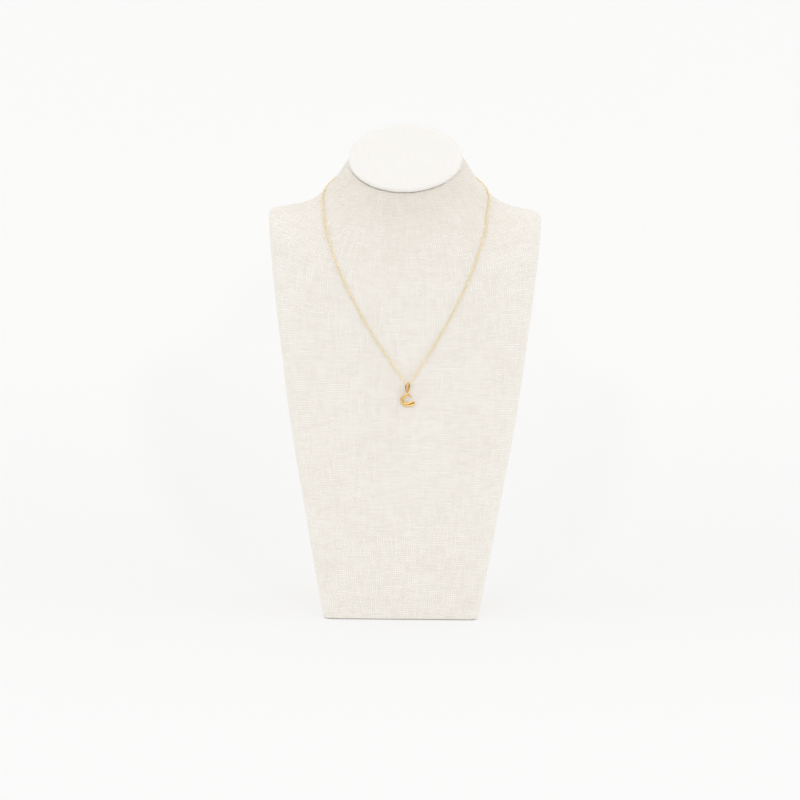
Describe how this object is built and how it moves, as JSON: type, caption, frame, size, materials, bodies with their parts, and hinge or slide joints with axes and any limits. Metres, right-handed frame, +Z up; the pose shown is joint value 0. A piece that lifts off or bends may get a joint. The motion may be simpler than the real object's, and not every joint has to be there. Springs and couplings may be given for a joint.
{
  "type": "initial pendant necklace on a neck bust",
  "caption": "Letter C pendant on an eye-shaped bail and a fine gold chain, worn by a linen covered neck bust with a padded neck cap.",
  "frame": {"origin": "middle of the bust's foot, on the surface that it stands on", "axes": "+Z up, the chest and the pendant face -Y, +X is to the right of a person who faces the bust"},
  "size_m": [0.19, 0.1001, 0.3395],
  "materials": {
    "linen": "tightly stretched natural white linen, matt",
    "cap_linen": "padded white linen, matt",
    "gold_chain": "polished yellow gold, fine cable links",
    "gold": "high polish yellow gold"
  },
  "bodies": {
    "bust": {"bust_body": "linen", "neck_cap": "cap_linen", "chain": "gold_chain", "clasp": "gold_chain"},
    "pendant": {"bail": "gold", "initial": "gold"}
  },
  "joints": [
    {"name": "pendant_swing", "type": "hinge", "parent": "bust", "child": "pendant", "pos_m": [0.0028, -0.05047, 0.16498], "axis": [-1, 0, 0], "range_deg": [0, 90]}
  ]
}
